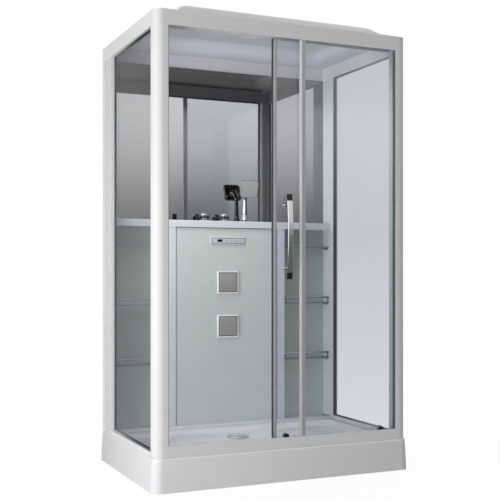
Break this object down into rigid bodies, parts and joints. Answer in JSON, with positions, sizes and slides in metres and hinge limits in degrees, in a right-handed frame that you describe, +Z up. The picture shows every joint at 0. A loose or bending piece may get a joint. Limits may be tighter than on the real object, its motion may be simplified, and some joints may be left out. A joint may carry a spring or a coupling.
{
  "type": "shower cabin",
  "caption": "Rectangular shower cabin with sliding glass door, moulded tray and roof, mirror back wall, hydro console, shelves and hand shower.",
  "frame": {"origin": "middle of the tray's footprint on the floor", "axes": "+Z up, +X to the right seen from the door side, +Y to the back wall"},
  "size_m": [1.3, 0.9, 2.155],
  "materials": {
    "tray_acrylic": "glossy moulded acrylic",
    "roof_plastic": "glossy moulded plastic",
    "painted_steel": "primed",
    "white_frame": "powder coated, satin",
    "white_plastic": "moulded",
    "clear_glass": "clear, polished edges",
    "frosted_glass": "frosted, pale green",
    "tinted_back": "back painted",
    "mirror": "silvered",
    "dark_seal": "matt",
    "satin_frame": "bright anodised",
    "ledge_white": "satin",
    "panel_white": "satin",
    "display_black": "glossy",
    "box_plastic": "matt",
    "chrome": "polished",
    "nozzle_grey": "fine mesh",
    "brass": "machined",
    "shower_grey": "chromed plastic",
    "wheel_nylon": "nylon"
  },
  "bodies": {
    "cabin": {"shower_tray": "tray_acrylic", "tray_support_frame": "painted_steel", "levelling_feet": "painted_steel", "drain_body": "white_plastic", "front_left_post": "white_frame", "front_right_post": "white_frame", "rear_left_post": "white_frame", "rear_right_post": "white_frame", "post_caps": "white_plastic", "front_top_rail": "white_frame", "left_top_rail": "white_frame", "right_top_rail": "white_frame", "rear_top_rail": "white_frame", "front_bottom_rail": "white_frame", "side_bottom_rails": "white_frame", "rear_bottom_rail": "white_frame", "left_filler_panel": "white_frame", "right_filler_panel": "white_frame", "left_side_glass": "clear_glass", "right_side_glass": "clear_glass", "side_gaskets": "dark_seal", "fixed_glass": "clear_glass", "fixed_seals": "dark_seal", "fixed_stile": "satin_frame", "roof": "roof_plastic", "ceiling_lamp": "white_plastic", "mirror": "mirror", "lower_back_glass": "tinted_back", "ledge": "ledge_white", "console_frame": "ledge_white", "console_glass": "frosted_glass", "glass_shelves": "clear_glass", "shelf_rails": "chrome", "shelf_clips": "chrome", "control_panel": "panel_white", "panel_display": "display_black", "control_box": "box_plastic", "jet_housings": "chrome", "mixer_body": "brass", "handset_socket": "chrome"},
    "door": {"door_glass": "clear_glass", "door_stile": "satin_frame", "door_seal": "dark_seal", "door_handle": "chrome", "roller_carriers": "box_plastic"},
    "top_left_wheel": {"top_left_wheel": "wheel_nylon"},
    "top_right_wheel": {"top_right_wheel": "wheel_nylon"},
    "bottom_left_wheel": {"bottom_left_wheel": "wheel_nylon"},
    "bottom_right_wheel": {"bottom_right_wheel": "wheel_nylon"},
    "hot_knob": {"hot_knob": "chrome"},
    "cold_knob": {"cold_knob": "chrome"},
    "handset_collar": {"handset_collar": "chrome"},
    "hand_shower": {"hand_shower": "shower_grey"},
    "upper_jet_plate": {"upper_jet_plate": "nozzle_grey"},
    "lower_jet_plate": {"lower_jet_plate": "nozzle_grey"},
    "light_button": {"light_button": "panel_white"},
    "fan_button": {"fan_button": "panel_white"},
    "radio_button": {"radio_button": "panel_white"},
    "power_button": {"power_button": "panel_white"},
    "drain_cover": {"drain_cover": "chrome"}
  },
  "joints": [
    {"name": "door_slide", "type": "slide", "parent": "cabin", "child": "door", "axis": [-1, 0, 0], "range_m": [0, 0.4967]},
    {"name": "top_left_wheel_turn", "type": "hinge", "parent": "door", "child": "top_left_wheel", "pos_m": [0.004, -0.395, 2.0696], "axis": [0, 1, 0], "range_deg": [-2750, 0]},
    {"name": "bottom_left_wheel_turn", "type": "hinge", "parent": "door", "child": "bottom_left_wheel", "pos_m": [0.004, -0.395, 0.2026], "axis": [0, 1, 0], "range_deg": [-2750, 0]},
    {"name": "top_right_wheel_turn", "type": "hinge", "parent": "door", "child": "top_right_wheel", "pos_m": [0.511, -0.395, 2.0696], "axis": [0, 1, 0], "range_deg": [-2750, 0]},
    {"name": "bottom_right_wheel_turn", "type": "hinge", "parent": "door", "child": "bottom_right_wheel", "pos_m": [0.511, -0.395, 0.2026], "axis": [0, 1, 0], "range_deg": [-2750, 0]},
    {"name": "hot_knob_turn", "type": "hinge", "parent": "cabin", "child": "hot_knob", "pos_m": [-0.124, 0.32, 1.25], "axis": [0, 0, 1], "range_deg": [0, 180]},
    {"name": "cold_knob_turn", "type": "hinge", "parent": "cabin", "child": "cold_knob", "pos_m": [-0.011, 0.32, 1.25], "axis": [0, 0, 1], "range_deg": [0, 180]},
    {"name": "handset_swivel", "type": "hinge", "parent": "cabin", "child": "handset_collar", "pos_m": [0.107, 0.32, 1.24], "axis": [0, 0, 1], "range_deg": [-90, 90]},
    {"name": "handset_lift", "type": "slide", "parent": "handset_collar", "child": "hand_shower", "axis": [0, 0, 1], "range_m": [0, 0.15]},
    {"name": "upper_jet_tilt", "type": "hinge", "parent": "cabin", "child": "upper_jet_plate", "pos_m": [0, 0.2935, 0.904], "axis": [1, 0, 0], "range_deg": [-8, 8]},
    {"name": "lower_jet_tilt", "type": "hinge", "parent": "cabin", "child": "lower_jet_plate", "pos_m": [0, 0.2935, 0.673], "axis": [1, 0, 0], "range_deg": [-8, 8]},
    {"name": "light_press", "type": "slide", "parent": "cabin", "child": "light_button", "axis": [0, 1, 0], "range_m": [0, 0.001], "stiffness_N_per_m": 400, "springref_m": -0.0005},
    {"name": "fan_press", "type": "slide", "parent": "cabin", "child": "fan_button", "axis": [0, 1, 0], "range_m": [0, 0.001], "stiffness_N_per_m": 400, "springref_m": -0.0005},
    {"name": "radio_press", "type": "slide", "parent": "cabin", "child": "radio_button", "axis": [0, 1, 0], "range_m": [0, 0.001], "stiffness_N_per_m": 400, "springref_m": -0.0005},
    {"name": "power_press", "type": "slide", "parent": "cabin", "child": "power_button", "axis": [0, 1, 0], "range_m": [0, 0.001], "stiffness_N_per_m": 400, "springref_m": -0.0005},
    {"name": "drain_cover_lift", "type": "slide", "parent": "cabin", "child": "drain_cover", "axis": [0, 0, 1], "range_m": [0, 0.06]}
  ],
  "couplings": [
    {"joint": "top_left_wheel_turn", "follows": "door_slide", "rad_per_m": -94.34},
    {"joint": "bottom_left_wheel_turn", "follows": "door_slide", "rad_per_m": -94.34},
    {"joint": "top_right_wheel_turn", "follows": "door_slide", "rad_per_m": -94.34},
    {"joint": "bottom_right_wheel_turn", "follows": "door_slide", "rad_per_m": -94.34}
  ]
}
